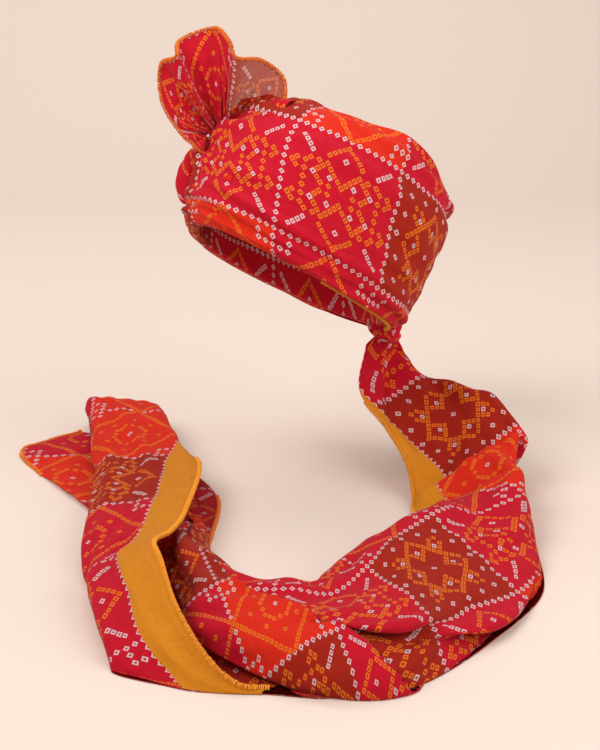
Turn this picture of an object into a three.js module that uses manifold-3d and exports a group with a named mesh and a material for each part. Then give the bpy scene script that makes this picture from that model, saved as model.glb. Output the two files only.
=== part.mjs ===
import * as THREE from "three";
import initManifold from "manifold-3d";

// Tied turban with a fan on top, a knot at the nape and one long free end.
// Millimetres, +Z up, the face towards -Y, the wearer's left on +X.
// The origin is the middle of the head opening, in the plane of the brim.

// Head opening
const HEAD_LENGTH = 190;
const HEAD_BREADTH = 154;
const HEAD_TOP = 128;
const BRIM_SLOPE = 33;

// Cloth
const LAY_WALL = 2.0;
const LAY_GAP = 0.6;
const FAN_WALL = 1.2;
const TAIL_WALL = 1.6;
const PIECE_GAP = 0.4;

// Level on which the free end lies, and where its own plan is set out from
const TABLE_LEVEL = -209;
const TAIL_ORIGIN_BACK = 14;
const TAIL_TURN = 48;

// Crown: oval sections from the brim to the top, square to the brim's slope.
// rise: along the crown's leaning axis; length and breadth: half sizes;
// back: shift down the slope; arch: how much higher the sides run than front and back (negative: lower)
const CROWN_SECTIONS = [
  { rise: -4, length: 118, breadth: 88, back: 1, arch: -4 },
  { rise: 7, length: 124, breadth: 96, back: 1, arch: -4 },
  { rise: 30, length: 130, breadth: 103, back: 2, arch: -1 },
  { rise: 57, length: 129, breadth: 105, back: 0, arch: 4 },
  { rise: 85, length: 126, breadth: 104, back: 1, arch: 6 },
  { rise: 109, length: 119, breadth: 101, back: 5, arch: 3 },
  { rise: 127, length: 109, breadth: 94, back: 12, arch: 1 },
  { rise: 138, length: 90, breadth: 79, back: 19, arch: 0 },
  { rise: 143, length: 58, breadth: 50, back: 22, arch: 0 },
];
const ARCH_SKEW = -0.8;
const CROWN_STEPS_AROUND = 36;
const CROWN_RINGS = 14;

// Outer lays of the crown: part of the way around, in degrees from the front towards the left
const LAYS = [
  { name: "right_lay", from: 171, to: 369, rings: 11, layer: 0 },
  { name: "left_lay", from: -27, to: 207, rings: 12, layer: 1 },
];

// Fan: ribs from the gathered foot to the hem. Seen from its front:
// side: to the right; up: above the foot; out: towards the front
const FAN_FOOT = { x: -40, y: -52, z: 133 };
const FAN_FOOT_SPREAD = 24;
const FAN_RIBS = [
  { side: -44, up: 6, out: 6 },
  { side: -60, up: 30, out: -4 },
  { side: -57, up: 64, out: -10 },
  { side: -38, up: 72, out: 10 },
  { side: -37, up: 88, out: -14 },
  { side: -7, up: 102, out: -18 },
  { side: 7, up: 90, out: 8 },
  { side: 15, up: 72, out: 18 },
  { side: 38, up: 68, out: 4 },
  { side: 58, up: 51, out: -8 },
  { side: 60, up: 32, out: 2 },
];

// Twisted pieces: a path of thick rolls. radius: of the roll at that point
const FAN_PUFF = [
  { x: -76, y: -44, z: 112, radius: 5 },
  { x: -82, y: -52, z: 100, radius: 10 },
  { x: -84, y: -58, z: 86, radius: 11 },
  { x: -80, y: -62, z: 72, radius: 9 },
  { x: -72, y: -64, z: 62, radius: 4 },
];
const NAPE_KNOT = [
  { x: -4, y: 106, z: -58, radius: 5 },
  { x: 5, y: 109, z: -62, radius: 11 },
  { x: 17, y: 109, z: -67, radius: 14 },
  { x: 30, y: 104, z: -73, radius: 13 },
  { x: 40, y: 98, z: -80, radius: 6 },
];
const TWIST_STRANDS = 3;
const TWIST_DEPTH = 0.16;
const TWIST_TURN_PER_MM = 2.6;

// Free end: sections across the cloth, each starting at one long edge.
// x, y, z: where that edge lies (z above the table); aim: the way the section runs in plan;
// pitch: how the cloth leaves the edge; bends: a length, then degrees, for each bend in turn
const TAIL_RUN = [
  { x: 64, y: 42, z: 121, aim: 25, pitch: 40, bends: [[18, 0], [16, -80], [20, -20], [22, -5]] },
  { x: 57, y: 14, z: 82, aim: 36, pitch: 16, bends: [[62, -5], [20, -85], [30, -10], [32, 0]] },
  { x: 84, y: -20, z: 53, aim: 40, pitch: -4, bends: [[84, 46], [22, -110], [30, -10], [38, 0]] },
  { x: 101, y: -50, z: 29, aim: 32, pitch: 2, bends: [[102, 56], [26, -120], [30, -5], [36, 0]] },
  { x: 106, y: -80, z: 10, aim: 18, pitch: 4, bends: [[116, 40], [18, -150], [24, -6], [26, 0]] },
  { x: 104, y: -104, z: 4, aim: 26, pitch: 60, bends: [[28, -34], [92, -4], [18, -130], [44, 0]] },
  { x: 106, y: -130, z: 3, aim: 10, pitch: 14, bends: [[94, 26], [18, -136], [24, -6], [30, 0]] },
  { x: 110, y: -142, z: 3, aim: 4, pitch: 62, bends: [[30, -36], [60, -4], [24, -104], [30, -10], [20, 0]] },
  {
    x: 88, y: -168, z: 3, aim: -46, pitch: 64,
    bends: [[46, -30], [42, -52], [84, -8], [30, -90], [36, -60]],
  },
  {
    x: 40, y: -232, z: 3, aim: -54, pitch: 68,
    bends: [[44, -36], [42, -45], [124, -12], [30, -90], [36, -60]],
  },
  {
    x: 8, y: -308, z: 3, aim: -70, pitch: 80,
    bends: [[46, -68], [114, -14], [44, -98], [16, -30], [12, -40]],
  },
  { x: -12, y: -326, z: 3, aim: -92, pitch: 84, bends: [[60, -76], [72, -16], [42, -90], [6, 0], [2, 0]] },
  { x: -24, y: -322, z: 3, aim: -128, pitch: 84, bends: [[52, -72], [32, -20], [32, -74], [3, 0], [2, 0]] },
  { x: -46, y: -298, z: 3, aim: -158, pitch: 86, bends: [[52, -80], [12, -20], [32, -74], [3, 0], [2, 0]] },
  { x: -70, y: -256, z: 3, aim: -172, pitch: 86, bends: [[50, -84], [6, -16], [26, -70], [4, 0], [2, 0]] },
  { x: -82, y: -200, z: 3, aim: -178, pitch: 84, bends: [[38, -84], [6, -16], [18, -60], [3, 0], [2, 0]] },
  { x: -85, y: -166, z: 4, aim: -186, pitch: 70, bends: [[20, -76], [8, -10], [10, -30], [4, 0]] },
  { x: -94, y: -130, z: 5, aim: -190, pitch: 20, bends: [[10, -20], [8, -4], [8, -6], [8, 0]] },
];
const TAIL_WRAP = [
  { x: -27, y: -450, z: 5, aim: -140, pitch: 350, bends: [[5, 0], [8, -170], [58, 0]] },
  { x: -48, y: -450, z: 12, aim: -184, pitch: 344, bends: [[28, 0], [13, -160], [80, 0]] },
  { x: -72, y: -437, z: 28, aim: -191, pitch: 336, bends: [[68, -2], [18, -150], [84, 0], [10, -20]] },
  { x: -97, y: -393, z: 46, aim: -170, pitch: 333, bends: [[53, -4], [34, -144], [86, 0], [10, -20]] },
  { x: -113, y: -342, z: 54, aim: -176, pitch: 334, bends: [[56, -4], [38, -150], [92, 0], [10, -20]] },
  { x: -122, y: -294, z: 50, aim: -180, pitch: 340, bends: [[56, -6], [40, -154], [88, 0], [10, -10]] },
  { x: -110, y: -263, z: 47, aim: -182, pitch: 346, bends: [[70, -8], [44, -158], [90, 0]] },
  { x: -102, y: -200, z: 42, aim: -184, pitch: 354, bends: [[82, -8], [46, -166], [94, 0]] },
  { x: -98, y: -72, z: 37, aim: -187, pitch: 360, bends: [[90, -10], [44, -170], [104, 0]] },
  { x: -128, y: 6, z: 26, aim: -188, pitch: 534, bends: [[16, -170], [70, -9], [44, -175], [80, 0]] },
  { x: -155, y: 108, z: 26, aim: -188, pitch: 541, bends: [[16, -170], [64, -18], [42, -173], [62, 0]] },
  { x: -163, y: 140, z: 12, aim: -188, pitch: 532, bends: [[12, -170], [60, -4], [24, -178], [62, 0]] },
];
const TAIL_STEPS_ACROSS = 15;
const TAIL_STEPS_BETWEEN = 2;

// Last corner of the free end, lying flat under the fold: two sides of it, in the same plan
const TAIL_CORNER = [
  { left_x: -258, left_y: -10, right_x: -196, right_y: -112 },
  { left_x: -288, left_y: 62, right_x: -198, right_y: -12 },
  { left_x: -236, left_y: 122, right_x: -204, right_y: 90 },
];

const radians = THREE.MathUtils.degToRad;
const slope = radians(BRIM_SLOPE);
const crownAxis = new THREE.Vector3(0, Math.sin(slope), Math.cos(slope));
const crownBack = new THREE.Vector3(0, Math.cos(slope), -Math.sin(slope));

// Smooth value between the rows of a table
function tableCurve(rows, column, position) {
  const last = rows.length - 1;
  const place = THREE.MathUtils.clamp(position, 0, last);
  const i = Math.min(Math.floor(place), last - 1);
  const at = (k) => rows[THREE.MathUtils.clamp(k, 0, last)][column];
  const f = place - i;
  const before = i > 0 ? at(i - 1) : 2 * at(0) - at(1);
  const after = i + 2 <= last ? at(i + 2) : 2 * at(last) - at(last - 1);
  const slopeIn = (at(i + 1) - before) / 2;
  const slopeOut = (after - at(i)) / 2;
  const f2 = f * f;
  const f3 = f2 * f;
  return at(i) * (2 * f3 - 3 * f2 + 1) + slopeIn * (f3 - 2 * f2 + f)
    + at(i + 1) * (3 * f2 - 2 * f3) + slopeOut * (f3 - f2);
}

// The brim dips a little at the sides, most of all before the ears
function archShare(turn) {
  return Math.pow(Math.sin(radians(turn)) ** 2, 0.7) * (1 - ARCH_SKEW * Math.cos(radians(turn)));
}

function crownPoint(angle, ring, offset) {
  const place = (ring / CROWN_RINGS) * (CROWN_SECTIONS.length - 1);
  const spot = (turn, along) => {
    const length = tableCurve(CROWN_SECTIONS, "length", along);
    const breadth = tableCurve(CROWN_SECTIONS, "breadth", along);
    const point = new THREE.Vector3(breadth * Math.sin(radians(turn)), 0, 0);
    const back = tableCurve(CROWN_SECTIONS, "back", along) - length * Math.cos(radians(turn));
    point.addScaledVector(crownBack, back);
    const arch = tableCurve(CROWN_SECTIONS, "arch", along) * archShare(turn);
    return point.addScaledVector(crownAxis, tableCurve(CROWN_SECTIONS, "rise", along) + arch);
  };
  const point = spot(angle, place);
  const around = spot(angle + 1, place).sub(spot(angle - 1, place));
  const upward = spot(angle, place + 0.02).sub(spot(angle, place - 0.02));
  return point.addScaledVector(around.cross(upward).normalize(), offset);
}

// Head hollow, from the brim (share 0) to its top (share 1)
function headPoint(angle, share) {
  const narrow = Math.pow(Math.cos(share * Math.PI / 2), 0.62);
  const y = -HEAD_LENGTH / 2 * Math.cos(radians(angle));
  const brim = -y * Math.tan(slope) + CROWN_SECTIONS[0].rise + CROWN_SECTIONS[0].arch * archShare(angle);
  const z = brim + (HEAD_TOP - brim) * Math.sin(share * Math.PI / 2);
  return new THREE.Vector3(HEAD_BREADTH / 2 * Math.sin(radians(angle)) * narrow, y * narrow, z);
}

function solid(name, points, faces, color) {
  const geometry = new THREE.BufferGeometry();
  const places = points.flatMap((p) => [p.x, p.y, p.z]);
  geometry.setAttribute("position", new THREE.Float32BufferAttribute(places, 3));
  let volume = 0;
  for (const [a, b, c] of faces) {
    volume += points[a].dot(new THREE.Vector3().crossVectors(points[b], points[c]));
  }
  geometry.setIndex(volume > 0 ? faces.flat() : faces.flatMap(([a, b, c]) => [a, c, b]));
  geometry.computeVertexNormals();
  const mesh = new THREE.Mesh(geometry, new THREE.MeshStandardMaterial({ color, roughness: 0.9 }));
  mesh.name = name;
  return mesh;
}

// Closed body through rings of equal count, with a point at each end
function ringBody(rings, first, last) {
  const count = rings[0].length;
  const points = [...rings.flat(), first, last];
  const faces = [];
  for (let i = 0; i < count; i += 1) {
    const j = (i + 1) % count;
    for (let k = 0; k + 1 < rings.length; k += 1) {
      faces.push([k * count + i, k * count + j, (k + 1) * count + j]);
      faces.push([k * count + i, (k + 1) * count + j, (k + 1) * count + i]);
    }
    faces.push([points.length - 2, j, i]);
    const top = (rings.length - 1) * count;
    faces.push([points.length - 1, top + i, top + j]);
  }
  return { points, faces };
}

// Closed body between two grids of points that face each other
function gridBody(lower, upper) {
  const rows = lower.length;
  const columns = lower[0].length;
  const points = [...lower.flat(), ...upper.flat()];
  const low = (i, j) => i * columns + j;
  const high = (i, j) => rows * columns + i * columns + j;
  const faces = [];
  const quad = (a, b, c, d) => faces.push([a, b, c], [a, c, d]);
  for (let i = 0; i + 1 < rows; i += 1) {
    for (let j = 0; j + 1 < columns; j += 1) {
      quad(high(i, j), high(i + 1, j), high(i + 1, j + 1), high(i, j + 1));
      quad(low(i, j), low(i, j + 1), low(i + 1, j + 1), low(i + 1, j));
    }
    quad(low(i, 0), low(i + 1, 0), high(i + 1, 0), high(i, 0));
    quad(low(i, columns - 1), high(i, columns - 1), high(i + 1, columns - 1), low(i + 1, columns - 1));
  }
  for (let j = 0; j + 1 < columns; j += 1) {
    quad(low(0, j), high(0, j), high(0, j + 1), low(0, j + 1));
    quad(low(rows - 1, j), low(rows - 1, j + 1), high(rows - 1, j + 1), high(rows - 1, j));
  }
  return { points, faces };
}

// Cloth of even thickness either side of a grid of points
function clothBody(grid, wall) {
  const rows = grid.length;
  const columns = grid[0].length;
  const shifted = (amount) => grid.map((row, i) => row.map((point, j) => {
    const along = grid[Math.min(i + 1, rows - 1)][j].clone().sub(grid[Math.max(i - 1, 0)][j]);
    const across = row[Math.min(j + 1, columns - 1)].clone().sub(row[Math.max(j - 1, 0)]);
    return point.clone().addScaledVector(along.cross(across).normalize(), amount);
  }));
  return gridBody(shifted(-wall / 2), shifted(wall / 2));
}

function crownWrap() {
  const turns = [...Array(CROWN_STEPS_AROUND).keys()].map((i) => (i * 360) / CROWN_STEPS_AROUND);
  const headRings = 7;
  const heights = [...Array(headRings).keys()].map((k) => 0.97 - (0.97 * k) / (headRings - 1));
  const inside = heights.map((height) => turns.map((turn) => headPoint(turn, height)));
  const outside = [...Array(CROWN_RINGS + 1).keys()].map((k) => turns.map((turn) => crownPoint(turn, k, 0)));
  const headEnd = new THREE.Vector3(0, 0, HEAD_TOP);
  const crownEnd = crownPoint(0, CROWN_RINGS, 0).add(crownPoint(180, CROWN_RINGS, 0)).multiplyScalar(0.5)
    .addScaledVector(crownAxis, 3);
  const body = ringBody([...inside, ...outside], headEnd, crownEnd);
  return solid("crown_wrap", body.points, body.faces, "#b3182a");
}

function crownLay({ name, from, to, rings, layer }) {
  const near = LAY_GAP + layer * (LAY_WALL + LAY_GAP);
  const step = 360 / CROWN_STEPS_AROUND;
  const first = Math.round(from / step);
  const last = Math.round(to / step);
  const grid = (offset) => {
    const rows = [];
    for (let k = 0; k <= rings; k += 1) {
      const row = [];
      for (let i = first; i <= last; i += 1) row.push(crownPoint(i * step, k, offset));
      rows.push(row);
    }
    return rows;
  };
  const body = gridBody(grid(near), grid(near + LAY_WALL));
  return solid(name, body.points, body.faces, layer ? "#c81e32" : "#b81c26");
}

// Everything inside the outer face of one or both lays, with a small gap
function crownKeepOut(layers) {
  const offset = layers * (LAY_WALL + LAY_GAP) + PIECE_GAP + 0.1;
  const turns = [...Array(CROWN_STEPS_AROUND).keys()].map((i) => (i * 360) / CROWN_STEPS_AROUND);
  const ringNumbers = [...Array(CROWN_RINGS + 1).keys()];
  const rings = ringNumbers.map((k) => turns.map((turn) => crownPoint(turn, k, offset)));
  const low = new THREE.Vector3(0, 0, 0);
  const high = crownPoint(0, CROWN_RINGS, offset).add(crownPoint(180, CROWN_RINGS, offset)).multiplyScalar(0.5)
    .addScaledVector(crownAxis, 4);
  const body = ringBody(rings, low, high);
  return solid("crown_room", body.points, body.faces, "#ffffff");
}

// Roll of twisted strands along a path
function twistedRoll(name, rows, color) {
  const steps = 14;
  const around = 12;
  const stops = rows.map((row) => new THREE.Vector3(row.x, row.y, row.z));
  const path = new THREE.CatmullRomCurve3(stops, false, "centripetal");
  const length = path.getLength();
  const frames = path.computeFrenetFrames(steps, false);
  const rings = [];
  for (let k = 0; k <= steps; k += 1) {
    const share = k / steps;
    const centre = path.getPointAt(share);
    const radius = tableCurve(rows, "radius", share * (rows.length - 1));
    const ring = [];
    for (let i = 0; i < around; i += 1) {
      const turn = (i / around) * Math.PI * 2;
      const strand = Math.cos(TWIST_STRANDS * (turn - radians(TWIST_TURN_PER_MM * length * share)));
      const reach = radius * (1 + TWIST_DEPTH * strand);
      ring.push(centre.clone()
        .addScaledVector(frames.normals[k], reach * Math.cos(turn))
        .addScaledVector(frames.binormals[k], reach * Math.sin(turn)));
    }
    rings.push(ring);
  }
  const start = path.getPointAt(0).addScaledVector(frames.tangents[0], -1.5);
  const end = path.getPointAt(1).addScaledVector(frames.tangents[steps], 1.5);
  const body = ringBody(rings, start, end);
  return solid(name, body.points, body.faces, color);
}

function fan() {
  const right = new THREE.Vector3(Math.cos(radians(TAIL_TURN)), Math.sin(radians(TAIL_TURN)), 0);
  const front = new THREE.Vector3(Math.sin(radians(TAIL_TURN)), -Math.cos(radians(TAIL_TURN)), 0);
  const foot = new THREE.Vector3(FAN_FOOT.x, FAN_FOOT.y, FAN_FOOT.z);
  const perRib = 2;
  const levels = 9;
  const grid = [];
  for (let k = 0; k <= (FAN_RIBS.length - 1) * perRib; k += 1) {
    const place = k / perRib;
    const share = place / (FAN_RIBS.length - 1);
    const tip = foot.clone()
      .addScaledVector(right, tableCurve(FAN_RIBS, "side", place))
      .addScaledVector(front, tableCurve(FAN_RIBS, "out", place));
    tip.z += tableCurve(FAN_RIBS, "up", place);
    const base = foot.clone().addScaledVector(right, (share - 0.5) * FAN_FOOT_SPREAD);
    base.addScaledVector(front, 3 * Math.cos(place * Math.PI));
    const row = [];
    for (let m = 0; m <= levels; m += 1) {
      const reach = m / levels;
      const point = base.clone().lerp(tip, reach);
      point.addScaledVector(front, 8 * Math.sin(reach * Math.PI));
      row.push(point);
    }
    grid.push(row);
  }
  const body = clothBody(grid, FAN_WALL);
  return solid("fan", body.points, body.faces, "#c9251f");
}

// One section of the free end: evenly spaced points along its bends
function tailSection(row) {
  const total = row.bends.reduce((sum, [length]) => sum + length, 0);
  const fine = 120;
  const step = total / fine;
  let run = 0;
  let lift = row.z;
  let heading = row.pitch;
  let walked = 0;
  const points = [];
  for (let i = 0; i <= fine; i += 1) {
    if ((i * TAIL_STEPS_ACROSS) % fine < TAIL_STEPS_ACROSS) {
      points.push([run, Math.max(lift, TAIL_WALL / 2 + PIECE_GAP)]);
    }
    let rest = walked;
    let bend = 0;
    for (const [length, turn] of row.bends) {
      if (rest < length) {
        bend = turn / length;
        break;
      }
      rest -= length;
    }
    run += step * Math.cos(radians(heading + (bend * step) / 2));
    lift += step * Math.sin(radians(heading + (bend * step) / 2));
    heading += bend * step;
    walked += step;
  }
  const aim = radians(row.aim);
  return points.map(([a, h]) => new THREE.Vector3(row.x + a * Math.cos(aim), row.y + a * Math.sin(aim), h));
}

function tailPiece(name, rows, color) {
  const sections = rows.map(tailSection);
  const grid = [];
  const steps = (sections.length - 1) * TAIL_STEPS_BETWEEN;
  for (let k = 0; k <= steps; k += 1) {
    const place = k / TAIL_STEPS_BETWEEN;
    grid.push(sections[0].map((_, j) => {
      const column = sections.map((section) => section[j]);
      const point = new THREE.Vector3(
        tableCurve(column, "x", place),
        tableCurve(column, "y", place),
        tableCurve(column, "z", place),
      );
      point.z = Math.max(point.z, TAIL_WALL / 2 + PIECE_GAP);
      return point;
    }));
  }
  const body = clothBody(grid, TAIL_WALL);
  return solid(name, body.points, body.faces, color);
}

function tailCorner() {
  const across = 6;
  const steps = 8;
  const grid = [];
  for (let k = 0; k <= steps; k += 1) {
    const place = (k / steps) * (TAIL_CORNER.length - 1);
    const leftX = tableCurve(TAIL_CORNER, "left_x", place);
    const leftY = tableCurve(TAIL_CORNER, "left_y", place);
    const rightX = tableCurve(TAIL_CORNER, "right_x", place);
    const rightY = tableCurve(TAIL_CORNER, "right_y", place);
    const row = [];
    for (let j = 0; j <= across; j += 1) {
      const share = j / across;
      row.push(new THREE.Vector3(
        THREE.MathUtils.lerp(leftX, rightX, share),
        THREE.MathUtils.lerp(leftY, rightY, share),
        TAIL_WALL / 2 + PIECE_GAP + 3 * Math.sin(share * Math.PI),
      ));
    }
    grid.push(row);
  }
  const body = clothBody(grid, TAIL_WALL);
  return solid("tail_corner", body.points, body.faces, "#d22a28");
}

const wasm = await initManifold();
wasm.setup();

function toManifold(mesh) {
  mesh.updateMatrixWorld(true);
  const geometry = mesh.geometry.clone().applyMatrix4(mesh.matrixWorld);
  const vertProperties = new Float32Array(geometry.getAttribute("position").array);
  const triVerts = new Uint32Array(geometry.index.array);
  return new wasm.Manifold(new wasm.Mesh({ numProp: 3, vertProperties, triVerts }));
}

function without(mesh, rooms) {
  let body = toManifold(mesh);
  for (const room of rooms) body = body.subtract(toManifold(room));
  const pieces = body.decompose().sort((a, b) => b.volume() - a.volume());
  const cut = pieces[0].getMesh();
  const geometry = new THREE.BufferGeometry();
  geometry.setAttribute("position", new THREE.Float32BufferAttribute(Array.from(cut.vertProperties), 3));
  geometry.setIndex(Array.from(cut.triVerts));
  geometry.computeVertexNormals();
  const result = new THREE.Mesh(geometry, mesh.material);
  result.name = mesh.name;
  return result;
}

// A copy grown outwards by the gap, to cut a neighbour clear of it
function grown(mesh, amount) {
  mesh.updateMatrixWorld(true);
  const geometry = mesh.geometry.clone().applyMatrix4(mesh.matrixWorld);
  geometry.computeVertexNormals();
  const position = geometry.getAttribute("position");
  const normal = geometry.getAttribute("normal");
  for (let i = 0; i < position.count; i += 1) {
    position.setXYZ(
      i,
      position.getX(i) + normal.getX(i) * amount,
      position.getY(i) + normal.getY(i) * amount,
      position.getZ(i) + normal.getZ(i) * amount,
    );
  }
  return new THREE.Mesh(geometry, mesh.material);
}

const crownRoom = crownKeepOut(2);
const rightRoom = crownKeepOut(1);
const knotWhole = twistedRoll("nape_knot", NAPE_KNOT, "#b81a30");
const puffWhole = twistedRoll("fan_puff", FAN_PUFF, "#d0301e");

function onTable(mesh) {
  mesh.position.set(0, TAIL_ORIGIN_BACK, TABLE_LEVEL);
  mesh.rotation.z = radians(TAIL_TURN);
  return mesh;
}
const tailRun = onTable(tailPiece("tail_run", TAIL_RUN, "#cc2230"));
const tailWrap = onTable(tailPiece("tail_wrap", TAIL_WRAP, "#c41f2c"));

const [rightLay, leftLay] = LAYS.map(crownLay);
const leftRoom = grown(leftLay, PIECE_GAP);

const turban = new THREE.Group();
turban.name = "tied_turban";
turban.add(crownWrap());
turban.add(rightLay);
turban.add(leftLay);
turban.add(without(fan(), [crownRoom]));
turban.add(without(puffWhole, [rightRoom, leftRoom]));
turban.add(without(knotWhole, [crownRoom]));
turban.add(without(tailRun, [crownRoom, grown(knotWhole, PIECE_GAP), grown(tailWrap, 2 * PIECE_GAP)]));
turban.add(tailWrap);
turban.add(without(onTable(tailCorner()), [grown(tailWrap, 2 * PIECE_GAP)]));

export default turban;
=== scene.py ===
# %% [markdown]
# This lesson rebuilds a tied turban. It is one long printed cloth: wound into a crown, opened into
# a fan on top, knotted at the nape, and left with a free end that lies on the table.
# The CAD model gives every piece its place as a plain solid. Here each solid becomes thin cloth
# again, with folds, a print and stitched edges.
# The cloth could be simulated, but a simulation falls its own way. This cloth has to lie in one
# known way, so every piece is a grid of points that a short table and a rule set out.

import math
from functools import partial

import bmesh
import bpy
import numpy as np
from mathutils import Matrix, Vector


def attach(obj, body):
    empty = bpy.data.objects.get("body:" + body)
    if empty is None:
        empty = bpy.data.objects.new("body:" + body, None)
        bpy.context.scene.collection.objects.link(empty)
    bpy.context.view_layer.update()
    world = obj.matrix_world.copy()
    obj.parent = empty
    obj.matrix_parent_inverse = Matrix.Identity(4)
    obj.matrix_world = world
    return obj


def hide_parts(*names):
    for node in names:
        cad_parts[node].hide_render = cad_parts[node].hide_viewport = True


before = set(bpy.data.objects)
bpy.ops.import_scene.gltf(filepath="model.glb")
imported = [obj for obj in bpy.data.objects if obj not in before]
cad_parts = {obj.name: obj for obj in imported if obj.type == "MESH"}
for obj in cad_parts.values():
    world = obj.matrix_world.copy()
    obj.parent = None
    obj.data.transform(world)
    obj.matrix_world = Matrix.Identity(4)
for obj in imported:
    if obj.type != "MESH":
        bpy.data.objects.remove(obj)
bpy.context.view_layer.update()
MM = 0.001
print("CAD nodes:", len(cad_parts))

# %% [markdown]
# Two helpers serve every material. A colour is written as it looks on screen, as a hex value, but
# Blender counts in linear light, so one function turns the first into the second.
# The other adds a node of any kind. Its inputs are named by place: a socket is linked, and a plain
# value is set on the input itself. A text in place of the settings names a maths operation.

# %% Colours and nodes
def colour(text):
    parts = [int(text[i : i + 2], 16) / 255 for i in (1, 3, 5)]
    linear = [c / 12.92 if c <= 0.04045 else ((c + 0.055) / 1.055) ** 2.4 for c in parts]
    return (*linear, 1.0)


def add(tree, kind, settings=None, **inputs):
    """Adds a node and gives its first output. Inputs are named i0, i1 and so on, by place."""
    node = tree.nodes.new(kind)
    if isinstance(settings, str):
        settings = {"operation": settings}
    for name, value in (settings or {}).items():
        setattr(node, name, value)
    for name, value in inputs.items():
        socket = node.inputs[int(name[1:])]
        if isinstance(value, bpy.types.NodeSocket):
            tree.links.new(value, socket)
        else:
            socket.default_value = value
    return node.outputs[0] if node.outputs else node


print("half grey on screen is", round(colour("#808080")[0], 3), "in linear light")

# %% [markdown]
# The shapes are kept in short tables with a row for each section that matters, as a tailor marks a
# pattern. Between the rows runs a cubic curve that goes through all of them. A straight line would
# leave a crease at every row, and a looser curve would miss the places that were measured.

# %% Smooth tables
def smooth_rows(values, places):
    """Smooth values between rows of numbers or points, at places counted in rows."""
    last = len(values) - 1
    before, after = 2 * values[0] - values[1], 2 * values[-1] - values[-2]
    padded = np.concatenate([[before], values, [after]])
    places = np.clip(np.asarray(places, float), 0, last)
    i = np.minimum(places.astype(int), last - 1)
    f = (places - i).reshape(places.shape + (1,) * (values.ndim - 1))
    p0, p1, p2, p3 = padded[i], padded[i + 1], padded[i + 2], padded[i + 3]
    start, end = 2 * f**3 - 3 * f**2 + 1, 3 * f**2 - 2 * f**3
    leave, arrive = f**3 - 2 * f**2 + f, f**3 - f**2
    return p1 * start + (p2 - p0) / 2 * leave + p2 * end + (p3 - p1) / 2 * arrive


def table_curve(rows, column, places):
    return smooth_rows(np.array([row[column] for row in rows], float), places)


print("between 0, 1 and 4 the curve passes", smooth_rows(np.array([0.0, 1.0, 4.0]), [0.5, 1.5]))

# %% [markdown]
# A few measures of a grid are needed again and again: unit vectors, the way the surface faces, and
# how far one has walked along it. Folds come from two more: a hump, which is a bell-shaped
# rise round one place, and waves, which add a few sines of chosen length and chance direction.
# Noise would do as well, but sines stay as smooth as cloth under tension.

# %% Measures and folds
def unit(vectors):
    return vectors / np.maximum(np.linalg.norm(vectors, axis=-1, keepdims=True), 1e-9)


def grid_normals(grid):
    return unit(np.cross(np.gradient(grid, axis=0), np.gradient(grid, axis=1)))


def walked(points):
    """How far each point lies along the first axis."""
    steps = np.diff(points, axis=0, prepend=points[:1])
    return np.cumsum(np.linalg.norm(steps, axis=-1), axis=0)


def hump(value, middle, spread):
    return np.exp(-(((value - middle) / spread) ** 2))


def waves(u, v, seed, count, wave_u, wave_v):
    """Soft uneven folds, about -1 to 1, with about these wavelengths."""
    random = np.random.default_rng(seed)
    total = np.zeros_like(u)
    for _ in range(count):
        ku = random.normal(0, 1) / wave_u
        kv = random.normal(0, 1) / wave_v
        total += np.sin(2 * np.pi * (ku * u + kv * v + random.random()))
    return total / math.sqrt(count)


print("a hump at its spread has fallen to", round(float(hump(1.0, 0.0, 1.0)), 2))

# %% [markdown]
# Real cloth has two faces and a thin raw edge. A single sheet of faces would show that edge as a
# line with no body, and Solidify would pull the print's UV map along the rim. So the grid is
# shifted by half the thickness each way, and the rim is closed with a row of faces.
# The UV map is measured in metres of cloth, so that the print keeps its real size on every piece.

# %% Cloth from a grid
def sheet_faces(rows, columns, closed):
    """Both faces of a sheet and its rim, as corner numbers."""
    lower = np.arange(rows * columns).reshape(rows, columns)
    upper = lower + rows * columns
    quads = [
        (upper[:-1, :-1], upper[1:, :-1], upper[1:, 1:], upper[:-1, 1:]),
        (lower[:-1, :-1], lower[:-1, 1:], lower[1:, 1:], lower[1:, :-1]),
        (lower[0, :-1], upper[0, :-1], upper[0, 1:], lower[0, 1:]),
        (lower[-1, 1:], upper[-1, 1:], upper[-1, :-1], lower[-1, :-1]),
    ]
    if not closed:
        quads.append((lower[1:, 0], upper[1:, 0], upper[:-1, 0], lower[:-1, 0]))
        quads.append((lower[:-1, -1], upper[:-1, -1], upper[1:, -1], lower[1:, -1]))
    return np.concatenate([np.stack(quad, -1).reshape(-1, 4) for quad in quads])


def set_down(name, mesh):
    """Shades a mesh smoothly and puts it in the scene."""
    mesh.polygons.foreach_set("use_smooth", np.ones(len(mesh.polygons), bool))
    piece = bpy.data.objects.new(name, mesh)
    bpy.context.collection.objects.link(piece)
    print(f"{name}: {len(mesh.polygons) * 2} triangles")
    return piece


def weld(mesh):
    """Joins the two edges of a tube and turns all faces outwards."""
    work = bmesh.new()
    work.from_mesh(mesh)
    bmesh.ops.remove_doubles(work, verts=work.verts, dist=1e-6)
    bmesh.ops.recalc_face_normals(work, faces=work.faces)
    work.to_mesh(mesh)
    work.free()


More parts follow.
